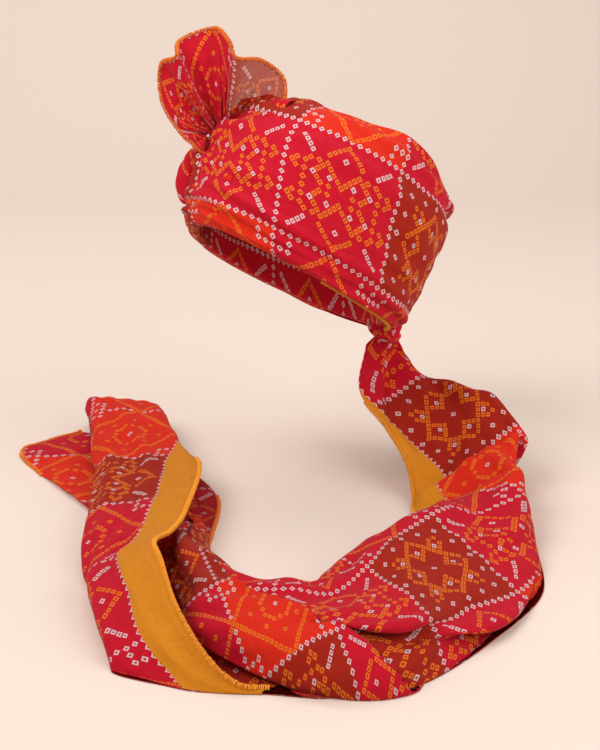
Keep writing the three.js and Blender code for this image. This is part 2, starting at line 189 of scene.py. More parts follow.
def cloth(name, grid, uv, wall, material, closed=False):
    """A thin closed sheet from a grid in mm; closed joins the last column to the first."""
    normal = grid_normals(grid)
    if closed:
        wide = np.concatenate([grid[:, -2:-1], grid, grid[:, 1:2]], axis=1)
        normal = grid_normals(wide)[:, 1:-1]
    sides = [(grid + normal * half).reshape(-1, 3) for half in (-wall / 2, wall / 2)]
    faces = sheet_faces(*grid.shape[:2], closed)
    mesh = bpy.data.meshes.new(name)
    mesh.from_pydata((np.concatenate(sides) * MM).tolist(), [], faces.tolist())
    both = np.concatenate([uv.reshape(-1, 2)] * 2)
    corner = np.empty(len(mesh.loops), int)
    mesh.loops.foreach_get("vertex_index", corner)
    mesh.uv_layers.new(name="cloth").data.foreach_set("uv", both[corner].ravel())
    if closed:
        weld(mesh)
    mesh.update()
    mesh.materials.append(material)
    return set_down(name, mesh)


def stand_for(piece, node):
    """Hangs the piece on the root body and hides the CAD node that it shows."""
    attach(piece, "root")
    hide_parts(node)


print("a sheet of 3 by 4 points has", len(sheet_faces(3, 4, False)), "faces")

# %% [markdown]
# The print is bandhani: the cloth is tied into tiny knots before it is dyed, and every knot leaves a
# small hollow square. One long side of the cloth has a plain marigold border. An image could hold
# all this, but it would blur up close. Charts stay sharp and are easy to change. Each motif is
# charted like embroidery. A row is one step from the check's middle along the slanting grid, its
# places run across that: w is a pale square, o an orange one.

# %% Print charts
CHECK = 0.105
DOTS_PER_SIDE = 14
BORDER = 0.033
CHART_WIDTH = 15
FLOWER = {
    1: "......o........",
    2: "......o.o......",
    3: "......ow.o.....",
    4: "...w..o..o.....",
    5: "......ooow.o...",
    6: ".ooooo.o..o....",
    7: "........oo.o...",
    8: ".......w..oo...",
    9: ".......w.......",
    10: ".......w.......",
    11: ".......w.......",
}
ROSETTE = {
    0: ".......w.......",
    2: ".....o...o.....",
    3: "....wo...ow....",
    4: ".....o...o.....",
    5: "..oooooooooo...",
    6: ".w....owo....w.",
    7: "......o.o......",
    8: "....w..o..w....",
    10: ".......w.......",
}
DIAMOND = {
    0: ".......w.......",
    2: ".....o...o.....",
    3: "......ooo......",
    4: "...o.......o...",
    5: ".......o.......",
    7: "ooooooooooooooo",
    10: ".......w.......",
    11: "......w.w......",
}
MOTIFS = (FLOWER, ROSETTE, DIAMOND)
# Ground colour and motif of each check, from the bordered edge inwards
CHECKS = [
    "o3 c3 c3 c1 c3 b1 o3 o3 c1 b2",
    "c1 c1 b2 c1 c1 c1 b2 c1 c3 b1",
    "b2 o3 c1 b1 o3 b2 b1 b2 o3 c1",
]
GROUNDS = {"c": "#C80E28", "o": "#DC2A14", "b": "#A8210F"}
PALE_DOT = "#D8BCBE"
ORANGE_DOT = "#E4741A"
MARIGOLD = "#D98A1C"
print("charted checks:", len(" ".join(CHECKS).split()))

# %% [markdown]
# First the shader has to know where it is. The UV map gives metres along and across the cloth.
# Folding the rest at the middle gives the four-sided repeat, and sums and differences of the two
# directions turn the grid by 45 degrees. Rounding then finds the nearest knot.

# %% Finding the knot
MATH, VECTOR = "ShaderNodeMath", "ShaderNodeVectorMath"
WANDER, WANDERS_PER_M = 0.004, 22.0


def knot_places(tree):
    """Sockets for metres along and across, the check's numbers, the knot's steps, and its square."""
    node = partial(add, tree)
    uv = node("ShaderNodeUVMap", {"uv_map": "cloth"})
    # the hand of the printer: lines wander by about half a millimetre
    noise = node("ShaderNodeTexNoise", {"noise_dimensions": "2D"}, i0=uv, i2=WANDERS_PER_M, i3=1.0)
    noise = node(VECTOR, "SUBTRACT", i0=noise.node.outputs["Color"], i1=(0.5, 0.5, 0.5))
    shift = node(VECTOR, "MULTIPLY", i0=noise, i1=(WANDER, WANDER, 0.0))
    place = node("ShaderNodeSeparateXYZ", i0=node(VECTOR, "ADD", i0=uv, i1=shift))
    along, across = place.node.outputs[0], place.node.outputs[1]
    checks, folded = [], []
    for metres in (along, node(MATH, "SUBTRACT", i0=across, i1=BORDER)):
        count = node(MATH, "DIVIDE", i0=metres, i1=CHECK)
        checks.append(node(MATH, "FLOOR", i0=count))
        centred = node(MATH, "SUBTRACT", i0=node(MATH, "FRACT", i0=count), i1=0.5)
        centred = node(MATH, "ABSOLUTE", i0=centred)
        folded.append(node(MATH, "MULTIPLY", i0=centred, i1=2.0 * DOTS_PER_SIDE))
    steps, off, numbers = [], [], []
    for turned, check, spacing in (("ADD", checks[0], 31.0), ("SUBTRACT", checks[1], 17.0)):
        slant = node(MATH, turned, i0=folded[0], i1=folded[1])
        slant = node(MATH, "MULTIPLY", i0=slant, i1=0.5)
        steps.append(node(MATH, "ROUND", i0=slant))
        aside = node(MATH, "SUBTRACT", i0=slant, i1=steps[-1])
        off.append(node(MATH, "ABSOLUTE", i0=aside))
        numbers.append(node(MATH, "MULTIPLY_ADD", i0=check, i1=spacing, i2=steps[-1]))
    # every knot is a little different in size, and its eye is left open
    knot = node("ShaderNodeCombineXYZ", i0=numbers[0], i1=numbers[1])
    chance = node("ShaderNodeTexWhiteNoise", {"noise_dimensions": "2D"}, i0=knot)
    reach = node(MATH, "MAXIMUM", i0=off[0], i1=off[1])
    outline = node(MATH, "MULTIPLY_ADD", i0=chance, i1=0.06, i2=0.35)
    eye = node(MATH, "MULTIPLY_ADD", i0=chance, i1=0.05, i2=0.13)
    outline = node(MATH, "LESS_THAN", i0=reach, i1=outline)
    eye = node(MATH, "LESS_THAN", i0=reach, i1=eye)
    return along, across, checks, steps, node(MATH, "SUBTRACT", i0=outline, i1=eye)


print("knots stand", round(CHECK / DOTS_PER_SIDE / MM, 1), "mm apart along a check's side")

# %% [markdown]
# A colour ramp with hard steps works as a chart's row: the place across picks the step. Red, green
# and blue of one ramp hold the same row of all three motifs, which saves two thirds of the nodes.
# Two more ramps list the checks, one with their grounds and one with their motifs.

# %% Reading the charts
CODES = {".": 0.0, "w": 0.5, "o": 1.0}


def fill_steps(ramp, colours):
    """Hard steps of colour, all equally wide."""
    ramp.interpolation = "CONSTANT"
    while len(ramp.elements) > 1:
        ramp.elements.remove(ramp.elements[0])
    for j, shade in enumerate(colours):
        stop = ramp.elements[0] if j == 0 else ramp.elements.new(j / len(colours))
        stop.position = j / len(colours)
        stop.color = shade


def charted(tree, checks, steps):
    node = partial(add, tree)
    lookup = node(MATH, "ADD", i0=steps[1], i1=CHART_WIDTH / 2)
    lookup = node(MATH, "DIVIDE", i0=lookup, i1=float(CHART_WIDTH))
    chart = None
    for k in sorted({*FLOWER, *ROSETTE, *DIAMOND}):
        texts = [motif.get(k, "." * CHART_WIDTH) for motif in MOTIFS]
        row = node("ShaderNodeValToRGB", i0=lookup)
        fill_steps(row.node.color_ramp, [(*[CODES[m] for m in marks], 1.0) for marks in zip(*texts)])
        here = node(MATH, "COMPARE", i0=steps[0], i1=float(k), i2=0.5)
        term = node(VECTOR, "SCALE", i0=row, i3=here)
        chart = term if chart is None else node(VECTOR, "ADD", i0=chart, i1=term)
    wide, deep = len(CHECKS[0].split()), len(CHECKS)
    column = node(MATH, "FLOORED_MODULO", i0=checks[0], i1=float(wide))
    row = node(MATH, "FLOORED_MODULO", i0=checks[1], i1=float(deep))
    cell = node(MATH, "MULTIPLY_ADD", i0=row, i1=float(wide), i2=column)
    cell = node(MATH, "ADD", i0=cell, i1=0.5)
    cell = node(MATH, "DIVIDE", i0=cell, i1=float(wide * deep))
    entries = " ".join(CHECKS).split()
    ground, motif = (node("ShaderNodeValToRGB", i0=cell) for _ in range(2))
    fill_steps(ground.node.color_ramp, [colour(GROUNDS[entry[0]]) for entry in entries])
    fill_steps(motif.node.color_ramp, [(*[float(entry[1] == m) for m in "123"], 1.0) for entry in entries])
    code = node(VECTOR, "DOT_PRODUCT", i0=chart, i1=motif).node.outputs["Value"]
    # the line of pale squares round every check
    far = node(MATH, "ABSOLUTE", i0=steps[1])
    far = node(MATH, "ADD", i0=steps[0], i1=far)
    on_line = node(MATH, "GREATER_THAN", i0=far, i1=DOTS_PER_SIDE - 0.5)
    on_line = node(MATH, "MULTIPLY", i0=on_line, i1=CODES["w"])
    return ground, node(MATH, "MAXIMUM", i0=code, i1=on_line)


print("chart rows:", len({*FLOWER, *ROSETTE, *DIAMOND}))

# %% [markdown]
# The cloth is cotton voile: a thin plain weave of hard-twisted yarn, dyed and slightly crinkled.
# It is matt, with a low gloss and hardly any sheen. Light passes through it scattered, which a
# Translucent shader gives, and where one layer stands free it can be seen through, which a little
# Transparent gives. The IOR stays at the default 1.5, which is close to cotton's.
# Real voile has about 25 yarns to the centimetre. That is too fine to show, so the streaks of
# uneven yarn are drawn 0.7 mm wide and about 22 mm long, and the crinkles 7 mm wide and 30 mm long.

# %% Printed voile
RGBA = {"data_type": "RGBA"}
NOISE = {"noise_dimensions": "2D"}
YARNS_PER_M, SLUBS_PER_M = 1500.0, 45.0
CRINKLES_PER_M = (34.0, 140.0, 1.0)
BELOW_EDGE = -0.01


def print_colour(tree):
    """Sockets for the printed colour and for metres along the cloth."""
    node = partial(add, tree)
    along, across, checks, steps, square = knot_places(tree)
    ground, code = charted(tree, checks, steps)
    dot = node(MATH, "GREATER_THAN", i0=code, i1=0.25)
    dot = node(MATH, "MULTIPLY", i0=square, i1=dot)
    orange = node(MATH, "GREATER_THAN", i0=code, i1=0.75)
    inside = node(MATH, "GREATER_THAN", i0=across, i1=BELOW_EDGE)
    border = node(MATH, "LESS_THAN", i0=across, i1=BORDER)
    border = node(MATH, "MULTIPLY", i0=border, i1=inside)
    dots = node("ShaderNodeMix", RGBA, i0=orange, i6=colour(PALE_DOT), i7=colour(ORANGE_DOT))
    printed = node("ShaderNodeMix", RGBA, i0=dot, i6=ground, i7=dots.node.outputs[2])
    printed = node("ShaderNodeMix", RGBA, i0=border, i6=printed.node.outputs[2], i7=colour(MARIGOLD))
    return printed.node.outputs[2], along


def printed_voile(name, through, sheer, opens=None):
    """through: share of light that passes scattered; sheer: share seen straight through;
    opens: from where to where along the cloth it gets sheerer, and how sheer it ends."""
    material = bpy.data.materials.new(name)
    material.use_nodes = True
    tree = material.node_tree
    tree.nodes.clear()
    node = partial(add, tree)
    shade, along = print_colour(tree)
    uv = node("ShaderNodeUVMap", {"uv_map": "cloth"})
    for size in ((YARNS_PER_M, SLUBS_PER_M, 1.0), (SLUBS_PER_M, YARNS_PER_M, 1.0)):
        drawn = node(VECTOR, "MULTIPLY", i0=uv, i1=size)
        streak = node("ShaderNodeTexNoise", NOISE, i0=drawn, i2=1.0, i3=2.0)
        level = node(MATH, "MULTIPLY_ADD", i0=streak, i1=0.34, i2=0.83)
        shade = node(VECTOR, "SCALE", i0=shade, i3=level)
    drawn = node(VECTOR, "MULTIPLY", i0=uv, i1=CRINKLES_PER_M)
    crinkle = node("ShaderNodeTexNoise", NOISE, i0=drawn, i2=1.0, i3=3.0)
    bump = node("ShaderNodeBump", i0=0.5, i1=0.0022, i3=crinkle)
    surface = node("ShaderNodeBsdfPrincipled", i0=shade, i2=0.8)
    surface.node.inputs["Specular IOR Level"].default_value = 0.15
    surface.node.inputs["Sheen Weight"].default_value = 0.04
    tree.links.new(bump, surface.node.inputs["Normal"])
    glow = node("ShaderNodeBsdfTranslucent", i0=shade)
    result = node("ShaderNodeMixShader", i0=through, i1=surface, i2=glow)
    if sheer:
        clear = node("ShaderNodeBsdfTransparent", i0=(1.0, 0.9, 0.86, 1.0))
        if opens:
            first, last, sheerest = opens
            sheer = node("ShaderNodeMapRange", i0=along, i1=first, i2=last, i3=sheer, i4=sheerest)
        result = node("ShaderNodeMixShader", i0=sheer, i1=result, i2=clear)
    node("ShaderNodeOutputMaterial", i0=result)
    return material


# many layers on each other: nearly opaque, the colours look deep
voile = printed_voile("Printed cotton voile, wound", 0.18, 0.0)
# one or two layers on the table: some light comes through the folds
thin_voile = printed_voile("Printed cotton voile, single", 0.30, 0.04)
# one layer in the air: its last lobe shows what is behind it
fan_voile = printed_voile("Printed cotton voile, sheer fan", 0.16, 0.03, (0.5, 0.54, 0.4))
print("nodes in one print:", len(voile.node_tree.nodes))

# %% [markdown]
# The crown is a drum of wound cloth that leans back with the brim. It could be sculpted, but oval
# sections from the brim to the top give the same form in nine rows, and every layer of cloth can
# then be laid on it at its own height. The brim arches at the sides.
# The winding also draws the cloth in at two places, below the top at the back and at the front.

# %% Crown form
BRIM_SLOPE = math.radians(33)
ARCH_SKEW = -0.8
CROWN_SECTIONS = [
    {"rise": -4, "length": 118, "breadth": 88, "back": 1, "arch": -4},
    {"rise": 7, "length": 124, "breadth": 96, "back": 1, "arch": -4},
    {"rise": 30, "length": 130, "breadth": 103, "back": 2, "arch": -1},
    {"rise": 57, "length": 129, "breadth": 105, "back": 0, "arch": 4},
    {"rise": 85, "length": 126, "breadth": 104, "back": 1, "arch": 6},
    {"rise": 109, "length": 119, "breadth": 101, "back": 5, "arch": 3},
    {"rise": 127, "length": 109, "breadth": 94, "back": 12, "arch": 1},
    {"rise": 138, "length": 90, "breadth": 79, "back": 19, "arch": 0},
    {"rise": 143, "length": 58, "breadth": 50, "back": 22, "arch": 0},
]
DRAWN_IN = [
    {"turn": 122, "level": 6.6, "turn_spread": 28, "level_spread": 1.0, "depth": 8},
    {"turn": 318, "level": 0.9, "turn_spread": 25, "level_spread": 0.8, "depth": 6},
]
crown_axis = np.array([0, math.sin(BRIM_SLOPE), math.cos(BRIM_SLOPE)])
crown_back = np.array([0, math.cos(BRIM_SLOPE), -math.sin(BRIM_SLOPE)])


def arch_share(turn):
    return np.power(np.sin(turn) ** 2, 0.7) * (1 - ARCH_SKEW * np.cos(turn))


def crown_spot(turn, level):
    """A point on the bare form: turn in radians from the front to the left, level in sections."""
    size = {name: table_curve(CROWN_SECTIONS, name, level) for name in CROWN_SECTIONS[0]}
    x = size["breadth"] * np.sin(turn)
    down = size["back"] - size["length"] * np.cos(turn)
    up = size["rise"] + size["arch"] * arch_share(turn)
    return x[..., None] * np.array([1.0, 0, 0]) + down[..., None] * crown_back + up[..., None] * crown_axis


def drawn_in(turn, level):
    depth = np.zeros_like(turn)
    for spot in DRAWN_IN:
        aside = (np.degrees(turn) - spot["turn"] + 180) % 360 - 180
        near = hump(aside, 0, spot["turn_spread"]) * hump(level, spot["level"], spot["level_spread"])
        depth += spot["depth"] * near
    return depth


def crown_grid(turns, levels, offset):
    """Points at an offset (mm) above the form: turns in degrees, levels in sections."""
    turn, level = np.meshgrid(np.radians(turns), levels)
    around = crown_spot(turn + 0.02, level) - crown_spot(turn - 0.02, level)
    upward = crown_spot(turn, level + 0.03) - crown_spot(turn, level - 0.03)
    lift = (offset - drawn_in(turn, level))[..., None]
    return crown_spot(turn, level) + unit(np.cross(around, upward)) * lift


print("crown sections:", len(CROWN_SECTIONS))

# %% [markdown]
# The wound turns show inside, round the hollow, and at the top between the outer lays.
# A turban is wound from many thin layers. Modelled one by one they would hide each other, so one
# cloth goes up the inside from the brim and down over the outside, and the wall between the two is
# as deep as the layers are together.

# %% Wound turns
HOLLOW_LENGTH, HOLLOW_BREADTH, HOLLOW_TOP = 190, 154, 128
WOUND_WALL = 0.9
turns = np.linspace(0, 360, 181)
share = np.linspace(0.985, 0, 40)[:, None]
turn_r = np.radians(turns)[None, :]
narrow = np.cos(share * np.pi / 2) ** 0.62
hollow_x = HOLLOW_BREADTH / 2 * np.sin(turn_r)
hollow_y = -HOLLOW_LENGTH / 2 * np.cos(turn_r)
brim = CROWN_SECTIONS[0]["rise"] - hollow_y * math.tan(BRIM_SLOPE)
brim = brim + CROWN_SECTIONS[0]["arch"] * arch_share(turn_r)
vault = brim + (HOLLOW_TOP - brim) * np.sin(share * np.pi / 2)
inside = np.stack([hollow_x * narrow, hollow_y * narrow, vault], -1)
levels = np.linspace(0, len(CROWN_SECTIONS) - 1, 70)
layers = 0.4 * np.sin(np.meshgrid(turns, levels)[1] * 9)
outside = crown_grid(turns, levels, layers)
top = outside[-1].mean(axis=0) + crown_axis * 3
close = np.linspace(1, 0.04, 8)[1:, None, None]
wound = np.concatenate([inside, outside, top + (outside[-1:] - top) * close])
wound_u = np.repeat(turn_r * 0.122, len(wound), 0)
wound_v = np.repeat(0.3 + walked(wound).mean(axis=1, keepdims=True) * MM, len(turns), 1)
crown_wrap = cloth("crown_wrap_cloth", wound, np.stack([wound_u, wound_v], -1), WOUND_WALL, voile, True)
stand_for(crown_wrap, "crown_wrap")

# %% [markdown]
# Two outer lays cover the wound turns. Cloth that is pulled tight folds along the pull, so their
# waves are long round the crown and short across it. Near the brim the folds follow it, below the
# fan they spread from its foot, and at the back of the top the cloth puffs up over a crease.
# Each of these is one line of arithmetic on the form, which is easier to steer than a sculpted one.

# %% Folds of the outer lays
TURN_MM, LEVEL_MM = 2.1, 24  # about how far one degree and one level reach on the crown
FAN_TURN, FAN_LEVEL = -22, 4.0
DEEPEST_FOLD = -1.2


def lay_lift(turn, level, seed):
    """How high the folds stand above the lay's own height, in mm."""
    round_mm, up_mm = turn * TURN_MM, level * LEVEL_MM
    folds = waves(round_mm, up_mm, seed, 8, 300, 34) * 2.6
    soft = waves(round_mm, up_mm, seed + 1, 5, 120, 90)
    # folds that follow the brim, strongest a hand's breadth above it
    sway = 0.5 * np.sin(np.radians(turn) * 2.3 + seed)
    pull = 1.7 + 2.6 * hump(turn, 15, 45)
    brim_folds = np.sin(2 * np.pi * (level + sway * 0.3 + turn * 0.004) / 0.62)
    brim_folds = pull * brim_folds * hump(level, 1.3, 0.9)
    # gathers that spread from the foot of the fan
    foot_u, foot_v = (turn - FAN_TURN) * TURN_MM, (level - FAN_LEVEL) * LEVEL_MM
    from_foot = np.hypot(foot_u, foot_v)
    gathers = 3.0 * np.sin(11 * np.arctan2(foot_v, foot_u) + 0.4 * np.sin(from_foot / 17))
    gathers = gathers * hump(from_foot, 0, 62) * (1 - hump(from_foot, 0, 16))
    # the puff at the back of the top, and the crease below it
    puff = 8.0 * hump(turn, 88, 34) * hump(level, 6.5, 0.75) * np.clip((116 - turn) / 44, 0, 1)
    crease = 3.5 * hump(level + (turn - 105) * 0.03, 5.9, 0.16) * np.clip((turn - 98) / 14, 0, 1)
    # the edge at the brim is rolled, and lies still
    roll = 2.6 * hump(level, 0.55, 0.35) - 1.4 * hump(level, 0, 0.22)
    still = np.clip(level / 0.4, 0.2, 1)
    loose = np.maximum(folds + soft + brim_folds + gathers, DEEPEST_FOLD)
    return 0.5 + loose * still + roll + puff - np.minimum(crease, 2.4)


print("folds stand up to", round(float(lay_lift(*np.meshgrid(turns, levels), 12).max()), 1), "mm high")

# %% [markdown]
# Each lay is cut from the form by its first and last turn and by its top. The print slants a
# little on it, because the cloth is wound in a spiral: the UV map grows round the crown and also
# as the cloth rises.

# %% Outer lays
LAY_AROUND = (0.112, 0.267)
LAY_UP = (0.002, 0.985)
LAY_WALL = 0.8


def lay(name, node, first, last, top_level, offset, uv_start, seed):
    turns = np.linspace(first, last, int((last - first) * 1.1))
    turn, level = np.meshgrid(turns, np.linspace(0, 1, 110) * top_level)
    points = crown_grid(turns, level[:, 0], offset + lay_lift(turn, level, seed))
    rise = walked(points)[:, len(turns) // 2, None] * MM
    u = uv_start[0] + LAY_AROUND[0] * np.radians(turn) + LAY_AROUND[1] * rise
    v = uv_start[1] + LAY_UP[0] * np.radians(turn) + LAY_UP[1] * rise
    piece = cloth(name, points, np.stack([u, v], -1), LAY_WALL, voile)
    stand_for(piece, node)
    return piece, points


right_lay, _ = lay("right_lay_cloth", "right_lay", 170, 370, 6.3, 1.6, (0.05, 0.06), 11)
left_lay, left_points = lay("left_lay_cloth", "left_lay", -30, 210, 7.3, 4.2, (0.02, 0.104), 12)

# %% [markdown]
# The fan is a gathered length of cloth that opens upwards. Its hem waves in and out, and its foot
# is squeezed into a few centimetres. Straight lines from the foot to the hem already give the
# gathers. Pleats that fade at both ends and a forward bow make it stand like starched cloth.

# %% Fan
VIEW_TURN = math.radians(48)
side_way = np.array([math.cos(VIEW_TURN), math.sin(VIEW_TURN), 0])
out_way = np.array([math.sin(VIEW_TURN), -math.cos(VIEW_TURN), 0])
FAN_FOOT = np.array([-40.0, -52.0, 133.0])
FOOT_WIDTH = 26
FAN_WALL = 0.6
FAN_RIBS = [
    {"side": -14, "up": -15, "out": 20},
    {"side": -35, "up": 1, "out": 10},
    {"side": -54, "up": 29, "out": -4},
    {"side": -55, "up": 62, "out": -10},
    {"side": -39, "up": 72, "out": 12},
    {"side": -37, "up": 84, "out": -14},
    {"side": -6, "up": 95, "out": -18},
    {"side": 9, "up": 86, "out": 8},
    {"side": 16, "up": 72, "out": 18},
    {"side": 38, "up": 68, "out": 4},
    {"side": 58, "up": 51, "out": -8},
    {"side": 60, "up": 32, "out": 2},
]
last_rib = len(FAN_RIBS) - 1
ribs = np.linspace(0, last_rib, 240)
rib, reach = np.meshgrid(ribs, np.linspace(0, 1, 70), indexing="ij")
side, up, out = (table_curve(FAN_RIBS, name, ribs)[:, None] for name in ("side", "up", "out"))
tip = FAN_FOOT + side * side_way + out * out_way + up * np.array([0, 0, 1])
foot_side = ((ribs / last_rib - 0.5) * FOOT_WIDTH)[:, None]
foot_out = (4 * np.cos(ribs * np.pi))[:, None]
base = FAN_FOOT + foot_side * side_way + foot_out * out_way
bow = 9 * np.sin(reach * np.pi)
bow = bow + 2.2 * np.sin(rib * 2 * np.pi * 1.5) * np.sin(reach * np.pi)
bow = bow + 1.2 * waves(rib * 30, reach * 100, 21, 5, 40, 60) * reach
fan_grid = base[:, None] * (1 - reach[..., None]) + tip[:, None] * reach[..., None]
fan_grid = fan_grid + bow[..., None] * out_way
fan_u = walked(tip)[:, None] * MM + 0.281
fan_uv = np.stack(np.broadcast_arrays(fan_u, 0.349 + reach * 0.105), -1)
fan = cloth("fan_cloth", fan_grid, fan_uv, FAN_WALL, fan_voile)
stand_for(fan, "fan")

# %% [markdown]
# The puff under the fan and the knot at the nape are rolls of the same cloth, twisted as they are
# pulled tight. A bevelled curve would give a smooth sausage. Here the section has soft strands
# that turn along the path, which reads as twisted cloth, and the ends are rounded off.

# %% Twisted rolls
ROLL_WIDTH, ROLL_WALL = 0.09, 0.7
ROLL_END = 7
ROLL_UP = np.array([0.3, 0.2, 0.93])


def roll(name, node, rows, seed, strands, depth, turn_per_mm, uv_start):
    places = np.linspace(0, len(rows) - 1, 90)
    path = np.stack([table_curve(rows, axis, places) for axis in "xyz"], -1)
    tangent = unit(np.gradient(path, axis=0))
    side = unit(np.cross(tangent, ROLL_UP))
    other = np.cross(tangent, side)
    length = walked(path)
    ends = np.sqrt(np.clip(np.minimum(length, length[-1] - length) / ROLL_END, 0.004, 1))
    radius = (table_curve(rows, "radius", places) * ends)[:, None]
    angle, far = np.meshgrid(np.linspace(0, 2 * np.pi, 97), length)
    spun = angle - np.radians(turn_per_mm) * far
    strand = np.cos(strands * spun) + 0.5 * np.cos((strands * 2 + 1) * spun + 1)
    uneven = waves(angle * 10, far, seed, 6, 18, 22)
    uneven[:, -1] = uneven[:, 0]
    radius = (radius * (1 + depth * strand * 0.7 + 0.03 * uneven))[..., None]
    outward = np.cos(angle)[..., None] * side[:, None] + np.sin(angle)[..., None] * other[:, None]
    uv = np.stack([uv_start[0] + far * MM, uv_start[1] + angle / (2 * np.pi) * ROLL_WIDTH], -1)
    piece = cloth(name, path[:, None] + radius * outward, uv, ROLL_WALL, voile, closed=True)
    stand_for(piece, node)
    return piece


FAN_PUFF = [
    {"x": -60, "y": -52, "z": 127, "radius": 5},
    {"x": -74, "y": -48, "z": 113, "radius": 7},
    {"x": -82, "y": -52, "z": 100, "radius": 10},
    {"x": -84, "y": -58, "z": 86, "radius": 11},
    {"x": -80, "y": -62, "z": 72, "radius": 9},
    {"x": -72, "y": -64, "z": 62, "radius": 4},
]
NAPE_KNOT = [
    {"x": -4, "y": 106, "z": -58, "radius": 5},
    {"x": 5, "y": 109, "z": -62, "radius": 11},
    {"x": 17, "y": 109, "z": -67, "radius": 14},
    {"x": 30, "y": 104, "z": -73, "radius": 13},
    {"x": 40, "y": 98, "z": -80, "radius": 6},
]
fan_puff = roll("fan_puff_cloth", "fan_puff", FAN_PUFF, 31, 2, 0.14, 1.5, (0.02, 0.15))
nape_knot = roll("nape_knot_cloth", "nape_knot", NAPE_KNOT, 33, 3, 0.2, 3.4, (0.11, 0.15))

# %% [markdown]
# The free end falls from the knot, turns on the table and comes round to the front. Then it is
# folded over itself and runs back to the left.
# A path with one fixed section could not fold back under itself. So every row is a whole section
# across the cloth, drawn as one would walk it: start at an edge, face a way, then go a length
# while turning by an angle, again and again. A turn of about 170 degrees is a fold.

# %% Sections of the free end
TABLE = -209
TABLE_BACK = 14


def edge(x, y, z, aim, pitch, *bends):
    """Where a section starts (mm), its direction and slope (degrees), then lengths with turns."""
    return {"start": (x, y, z), "aim": aim, "pitch": pitch, "bends": bends}


def flap(bend, length):
    """A small fold inside a section: back under the cloth for a length, and on again."""
    return (bend, -165), (length, 0), (bend, 165)


TAIL_RUN = [
    edge(64, 42, 121, 25, 40, (18, 0), (16, -80), (20, -20), (22, -5)),
    edge(57, 14, 82, 36, 16, (62, -5), (20, -85), (30, -10), (32, 0)),
    edge(84, -20, 53, 40, -4, (84, 46), (22, -110), (30, -10), (38, 0)),
    edge(101, -50, 29, 32, 2, (102, 56), (26, -120), (30, -5), (36, 0)),
    edge(106, -80, 10, 18, 4, (116, 40), (18, -150), (24, -6), (26, 0)),
    edge(104, -104, 4, 26, 60, (28, -34), (92, -4), (18, -130), (44, 0)),
    edge(106, -130, 3, 10, 14, (94, 26), (18, -136), (24, -6), (30, 0)),
    edge(110, -142, 3, 4, 62, (30, -36), (60, -4), (24, -104), (30, -10), (20, 0)),
    edge(88, -168, 3, -46, 64, (46, -30), (42, -52), (90, -8), *flap(3, 6), (22, -60), (20, -60), (20, -40)),
    edge(40, -232, 3, -54, 68, (44, -36), (42, -42), (120, -9), *flap(5, 22), (26, -54), (16, -60), (12, -40)),
    edge(8, -308, 3, -70, 80, (46, -68), (114, -12), *flap(5, 14), (50, -66), (20, -60), (12, -40)),
    edge(-12, -326, 3, -92, 84, (60, -76), (73, -16), (42, -90), (8, 0)),
    edge(-24, -322, 3, -128, 84, (52, -72), (47, -20), (32, -74), (5, 0)),
    edge(-46, -298, 3, -158, 86, (52, -80), (12, -20), (32, -74), (5, 0)),
    edge(-70, -256, 3, -172, 86, (50, -84), (6, -16), (26, -70), (6, 0)),
    edge(-82, -200, 3, -178, 84, (38, -84), (6, -16), (18, -60), (5, 0)),
    edge(-85, -166, 4, -186, 70, (20, -76), (8, -10), (10, -30), (4, 0)),
    edge(-94, -130, 5, -190, 20, (10, -20), (8, -4), (8, -6), (8, 0)),
]
TAIL_WRAP = [
    edge(-25, -462, 4, -140, 350, (5, 0), (8, -170), (58, 0)),
    edge(-48, -464, 8, -184, 344, (28, 0), (13, -160), (98, 0)),
    edge(-72, -450, 24, -191, 336, (68, -2), (18, -150), (114, 0), (10, -20)),
    edge(-97, -404, 43, -170, 333, (53, -4), (34, -144), (100, 0), (10, -20)),
    edge(-113, -342, 54, -176, 334, (56, -4), (38, -150), (92, 0), (10, -20)),
    edge(-122, -294, 50, -180, 340, (56, -6), (40, -154), (88, 0), (10, -10)),
    edge(-110, -263, 47, -182, 346, (70, -8), (44, -158), (90, 0)),
    edge(-102, -200, 42, -184, 354, (82, -8), (46, -166), (94, 0)),
    edge(-98, -72, 37, -187, 360, (90, -10), (44, -170), (104, 0)),
    edge(-128, 6, 26, -188, 534, (16, -170), (70, -9), (44, -175), (80, 0)),
    edge(-155, 108, 26, -188, 541, (16, -170), (64, -18), (42, -173), (62, 0)),
    edge(-163, 140, 12, -188, 532, (12, -170), (60, -4), (24, -178), (62, 0)),
]


def section(row, columns, fine=900):
    """Evenly spaced points along one section, and its length."""
    lengths = np.array([length for length, _ in row["bends"]], float)
    rates = np.array([turn / length for length, turn in row["bends"]])
    step = lengths.sum() / fine
    middles = (np.arange(fine) + 0.5) * step
    which = np.minimum(np.searchsorted(np.cumsum(lengths), middles), len(lengths) - 1)
    heading = np.radians(row["pitch"] + np.cumsum(rates[which]) * step)
    take = np.linspace(0, fine, columns)
    run, lift = (
        np.interp(take, np.arange(fine + 1), np.concatenate([[0], np.cumsum(go(heading))]) * step)
        for go in (np.cos, np.sin)
    )
    (x, y, z), aim = row["start"], math.radians(row["aim"])
    return np.stack([x + run * math.cos(aim), y + run * math.sin(aim), z + lift], -1), lengths.sum()


def on_table(points):
    """From the plan that the free end is set out in to the turban's own frame."""
    x, y, z = points[..., 0], points[..., 1], points[..., 2]
    turned_x = x * math.cos(VIEW_TURN) - y * math.sin(VIEW_TURN)
    turned_y = TABLE_BACK + x * math.sin(VIEW_TURN) + y * math.cos(VIEW_TURN)
    return np.stack([turned_x, turned_y, z + TABLE], -1)


print("the run is", section(TAIL_RUN[5], 2)[1], "mm wide at its sixth section")

